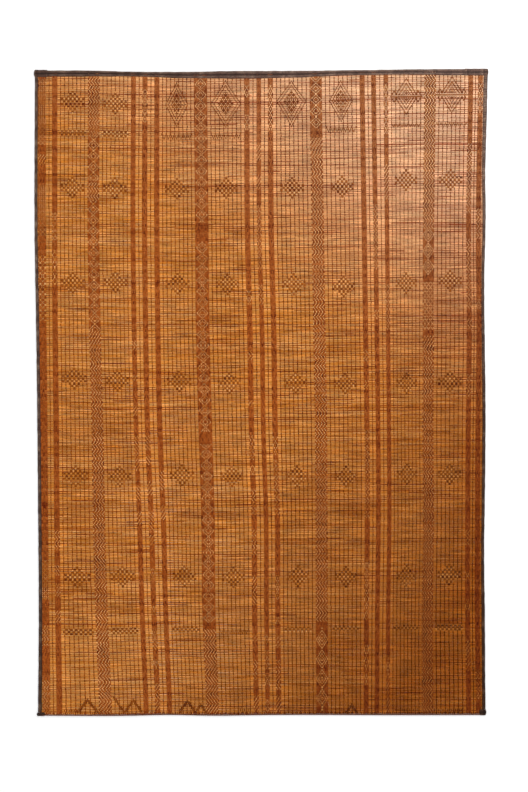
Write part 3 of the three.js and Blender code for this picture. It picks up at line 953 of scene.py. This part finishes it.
# Strips seen from below, one under each band and line.
underside = {"rings": 42, "thick": 1.25, "clear": 0.02, "bandNarrower": 3, "lineWidth": 6.4, "ends": 2}
ribbons = [(band["at"], band["width"] - underside["bandNarrower"]) for band in bands]
ribbons += [(u, underside["lineWidth"]) for u in lineX]
ribbonCoords, ribbonQuads = [], []
rings = underside["rings"]
oneRibbon = unitTube(rings, 4)
heights = np.linspace(weave["bottom"] + underside["ends"], weave["top"] - underside["ends"], rings)
clear = underside["clear"]
corner = np.array([[-0.5, clear], [0.5, clear], [0.5, 1.0], [-0.5, 1.0]])
for index, (u, wide) in enumerate(ribbons):
    uu = u + wide * np.repeat(corner[None, :, 0], rings, axis=0)
    vv = np.repeat(heights[:, None], 4, axis=1)
    zz = underside["thick"] * np.repeat(corner[None, :, 1], rings, axis=0)
    ribbonCoords.append(settle(columnX(uu.ravel(), vv.ravel()), vv.ravel(), zz.ravel()))
    ribbonQuads.append(oneRibbon + index * rings * 4)
ribbonCoords = np.concatenate(ribbonCoords)
ribbonQuads = np.concatenate(ribbonQuads)
underMesh = meshFrom("underside_strips", ribbonCoords, ribbonQuads, np.full(len(ribbonCoords), 0.5))
underStrips = addPiece("underside_strips", underMesh, stripMaterial, "woven_field")
print("underside laid")


# Far edge: leather rolled twice, an outer roll and an inner one with a groove between.
topBinding = {
    "from": -1581, "to": 1584, "step": 12,
    "wanders": {"edge": (0.7, 40, 5), "tall": (0.04, 22, 6), "tone": (0.08, 30, 7)},
    "section": [
        [1.0, 1.0], [1.0, 3.5], [0.96, 6.2], [0.85, 7.5], [0.71, 7.5], [0.58, 6.6], [0.51, 5.2],
        [0.48, 5.0], [0.42, 6.0], [0.31, 6.7], [0.17, 6.7], [0.05, 5.6], [0.0, 3.6], [0.0, 1.5],
        [0.05, 0.2], [0.33, 0.0], [0.67, 0.0], [0.95, 0.2],
    ],
    # Tones: painted highlights on both crowns, painted shade in the groove, on the inner side and below.
    "tones": [
        0.35, 0.5, 0.62, 0.6, 0.5, 0.35, 0.0, 0.0, 0.35, 0.55, 0.55, 0.35, 0.1, 0.1,
        0.2, 0.2, 0.2, 0.2,
    ],
}
along = np.arange(topBinding["from"], topBinding["to"] + 1, topBinding["step"], dtype=float)
outer = edgeAt("topEdge", 1, along)
inner = edgeAt("topBindingEnds", 1, along)
path = np.stack([along, inner], axis=1)
unit = np.array(topBinding["section"])
section = np.repeat(unit[None], len(along), axis=0)
stray = wanders(along, topBinding["wanders"])
section[:, :, 0] *= (outer - inner + stray["edge"])[:, None]
section[:, :, 1] *= (1 + stray["tall"])[:, None]
tone = np.array(topBinding["tones"])[None, :] + stray["tone"][:, None]
topMesh = sweep("top_binding_rolls", path, section, tone.clip(0, 1))
addPiece("top_binding_rolls", topMesh, rolledMaterial, "top_binding")

# Sides: leather folded over the reed ends.
sideBinding = {
    "step": 14,
    "wanders": {"edge": (0.8, 30, 3), "wide": (0.9, 18, 0), "tall": (0.05, 16, 1), "tone": (0.14, 25, 2)},
    "section": [
        [0.0, 0.8], [0.0, 3.8], [0.08, 6.0], [0.25, 7.0], [0.5, 7.2], [0.72, 6.6], [0.88, 5.8],
        [0.99, 5.2], [0.99, 2.0], [0.9, 0.2], [0.5, 0.0], [0.1, 0.1],
    ],
}
# Tones around each fold: a painted sheen along its crown, painted shade down its sides.
sides = [
    {"name": "left", "sign": 1, "low": -2238, "high": 2216, "seed": 21,
     "tones": [0.2, 0.3, 0.45, 0.55, 0.6, 0.45, 0.35, 0.35, 0.2, 0.2, 0.2, 0.2]},
    {"name": "right", "sign": -1, "low": -2216, "high": 2230, "seed": 31,
     "tones": [0.2, 0.25, 0.35, 0.45, 0.55, 0.5, 0.45, 0.35, 0.2, 0.2, 0.2, 0.2]},
]
for side in sides:
    name, sign = side["name"], side["sign"]
    along = np.arange(side["low"], side["high"] + 1, sideBinding["step"], dtype=float)
    stray = wanders(along, sideBinding["wanders"], side["seed"])
    edge = edgeAt(name + "Side", 1, along) + stray["edge"]
    wide = edgeAt(name + "Side", 2, along) + stray["wide"]
    path = np.stack([edge, along], axis=1)
    section = np.repeat(np.array(sideBinding["section"])[None], len(along), axis=0)
    section[:, :, 0] *= -sign * wide[:, None]
    section[:, :, 1] *= (1 + stray["tall"])[:, None]
    tone = np.array(side["tones"])[None, :] + stray["tone"][:, None]
    mesh = sweep(name + "_binding_fold", path, section, tone.clip(0, 1))
    addPiece(name + "_binding_fold", mesh, rolledMaterial, name + "_binding")

# Whip stitches over the right side, plain to see towards the far end.
whips = {
    "pitch": 17.5, "low": -300, "high": 2200, "length": 21, "width": 7, "tall": 1.6,
    "height": 7.1, "stray": 1.2, "inward": 0.52, "spread": 0.12,
    "toneHeights": [-300, 900, 2200], "tones": [0.4, 0.55, 0.75],
}
whipY = np.arange(whips["low"], whips["high"], whips["pitch"])
whipY = whipY + whips["stray"] * chance.standard_normal(len(whipY))
whipX = edgeAt("rightSide", 1, whipY) - whips["inward"] * edgeAt("rightSide", 2, whipY)
count = len(whipY)
at = np.stack([whipX, whipY, np.full(count, whips["height"])], axis=1)
size = np.stack([
    whips["length"] * chance.uniform(0.85, 1.0, count),
    whips["width"] * chance.uniform(0.8, 1.1, count),
    np.full(count, whips["tall"]),
], axis=1)
tone = np.interp(whipY, whips["toneHeights"], whips["tones"])
tone = tone + whips["spread"] * chance.standard_normal(count)
whipMesh = stamp("side_whip_stitches", unitStitch(0.8, 0.6), at, size, tone.clip(0, 1), skewed=False)
addPiece("side_whip_stitches", whipMesh, rolledMaterial, "right_binding")

# Stitches that hold the near cord to the last reeds.
hems = {"half": 1530, "pitch": 14.5, "stray": 1.5, "y": -2244.0, "height": 4.6,
        "width": 6, "length": 12, "tall": 2.4}
hemX = np.arange(-hems["half"], hems["half"], hems["pitch"])
hemX = hemX + hems["stray"] * chance.standard_normal(len(hemX))
count = len(hemX)
at = np.stack([hemX, np.full(count, hems["y"]), np.full(count, hems["height"])], axis=1)
size = np.stack([
    hems["width"] * chance.uniform(0.8, 1.2, count),
    hems["length"] * chance.uniform(0.85, 1.1, count),
    np.full(count, hems["tall"]),
], axis=1)
tone = chance.uniform(0.3, 0.6, count)
hemMesh = stamp("hem_stitches", unitStitch(0.75, 0.8), at, size, tone, skewed=False)
addPiece("hem_stitches", hemMesh, lineMaterial, "bottom_cord")

# Near edge: a thin cord of two twisted strands.
cord = {
    "from": -1540, "to": 1543, "step": 2.6, "inside": 4.4, "height": 4.3,
    "radius": 3.3, "lobe": 1.1, "flat": 0.92, "turn": 26, "around": 12,
}
along = np.arange(cord["from"], cord["to"], cord["step"])
path = np.stack([along, edgeAt("bottomEdge", 1, along) + cord["inside"]], axis=1)
angle = np.linspace(0, 2 * math.pi, cord["around"], endpoint=False)[None, :]
twist = 2 * math.pi * along[:, None] / cord["turn"]
radius = cord["radius"] + cord["lobe"] * np.abs(np.cos(angle - twist))
up = cord["height"] + radius * cord["flat"] * np.sin(angle)
section = np.stack([radius * np.cos(angle), up], axis=2)
# Painted highlight on the crown of each strand, painted shade between the strands.
tone = 0.25 + 0.35 * np.abs(np.cos(angle - twist))
cordMesh = sweep("twisted_edge_cord", path, section, tone)
addPiece("twisted_edge_cord", cordMesh, cordMaterial, "bottom_cord")

# Corners: a leather strip wound round the ends of the bindings.
winding = {
    "step": 1.6, "turn": 11, "around": 20, "closing": 6, "square": 0.6,
    "creaseWidth": 0.22, "creaseDepth": 0.3,
    "wanders": {"turn": (0.8, 30, 51), "deep": (0.03, 20, 52), "tone": (0.12, 12, 53)},
}
wraps = {
    "top_left": {"left": -1590, "right": -1491, "low": 2205, "high": 2256, "tall": 8.4},
    "top_right": {"left": 1418, "right": 1590, "low": 2216, "high": 2265, "tall": 8.4},
    "bottom_left": {"left": -1570, "right": -1511, "low": -2265, "high": -2240, "tall": 8.0},
    "bottom_right": {"left": 1525, "right": 1575, "low": -2260, "high": -2217, "tall": 8.0},
}
for name, wrap in wraps.items():
    along = np.arange(wrap["left"], wrap["right"] + 0.1, winding["step"])
    stray = wanders(along, winding["wanders"])
    middle = np.full(len(along), (wrap["low"] + wrap["high"]) / 2)
    path = np.stack([along, middle], axis=1)
    turns = np.abs(np.sin(math.pi * along / winding["turn"] + stray["turn"]))[:, None]
    nearEnd = np.minimum(along - wrap["left"], wrap["right"] - along)[:, None]
    closing = np.sqrt(np.clip(nearEnd / winding["closing"], 0.12, 1))
    angle = np.linspace(0, 2 * math.pi, winding["around"], endpoint=False)[None, :]
    halfDeep = (wrap["high"] - wrap["low"]) / 2
    halfTall = wrap["tall"] / 2
    across = np.sign(np.cos(angle)) * np.abs(np.cos(angle)) ** winding["square"]
    up = np.sign(np.sin(angle)) * np.abs(np.sin(angle)) ** winding["square"]
    crease = np.exp(-(across / winding["creaseWidth"]) ** 2) * (up > 0)
    swell = closing * (0.95 + 0.05 * turns)
    section = np.stack([
        halfDeep * across * (swell + stray["deep"][:, None]),
        halfTall + halfTall * up * swell * (1 - winding["creaseDepth"] * crease),
    ], axis=2)
    # Painted highlight on the crest of each turn, painted shade in the crease and down the sides.
    tone = 0.42 + 0.25 * turns - 0.5 * crease - 0.2 * np.abs(across) + stray["tone"][:, None]
    mesh = sweep(name + "_corner", path, section, tone.clip(0, 1))
    addPiece(name + "_corner", mesh, rolledMaterial, name + "_wrap")
print("edges bound")

# Floor, light and camera.
room = {
    "floor": "#FFFFFF", "floorSize": 14.0, "sky": 0.93,
    "lamp": 180.0, "lampSize": (4.0, 3.0), "lampPlace": (3.2, 4.2, 4.6), "lampTurn": (-42, 35),
}
floorMesh = bpy.data.meshes.new("floor")
bm = bmesh.new()
bmesh.ops.create_grid(bm, x_segments=1, y_segments=1, size=room["floorSize"] / 2)
bm.to_mesh(floorMesh)
bm.free()
floorMaterial = bpy.data.materials.new("white paper floor")
floorMaterial.use_nodes = True
floorShader = floorMaterial.node_tree.nodes["Principled BSDF"]
floorShader.inputs["Base Color"].default_value = colour(room["floor"])
floorShader.inputs["Roughness"].default_value = 0.9
floorMesh.materials.append(floorMaterial)
floor = bpy.data.objects.new("floor", floorMesh)
bpy.context.scene.collection.objects.link(floor)

world = bpy.data.worlds.new("studio")
bpy.context.scene.world = world
world.use_nodes = True
world.node_tree.nodes["Background"].inputs[0].default_value = colour("#FFFFFF")
world.node_tree.nodes["Background"].inputs[1].default_value = room["sky"]

lampData = bpy.data.lights.new("softbox", "AREA")
lampData.shape = "RECTANGLE"
lampData.size, lampData.size_y = room["lampSize"]
lampData.energy = room["lamp"]
lamp = bpy.data.objects.new("softbox", lampData)
lamp.location = room["lampPlace"]
lamp.rotation_euler = (math.radians(room["lampTurn"][0]), math.radians(room["lampTurn"][1]), 0)
bpy.context.scene.collection.objects.link(lamp)

# The photo shows 7 mm in each of its 528 by 792 pixels, looking straight down.
view = {"perPixel": 7.0, "tall": 792, "x": 19.6, "y": -25.9, "height": 12.0, "sensor": 36.0}
cameraData = bpy.data.cameras.new("camera")
cameraData.sensor_width = view["sensor"]
cameraData.sensor_height = view["sensor"]
cameraData.sensor_fit = "VERTICAL"
cameraData.lens = view["sensor"] * view["height"] / (view["perPixel"] * view["tall"] * mm)
camera = bpy.data.objects.new("camera", cameraData)
camera.location = (view["x"] * mm, view["y"] * mm, view["height"])
bpy.context.scene.collection.objects.link(camera)
bpy.context.scene.camera = camera
bpy.context.scene.view_settings.view_transform = "Standard"
print("room lit")
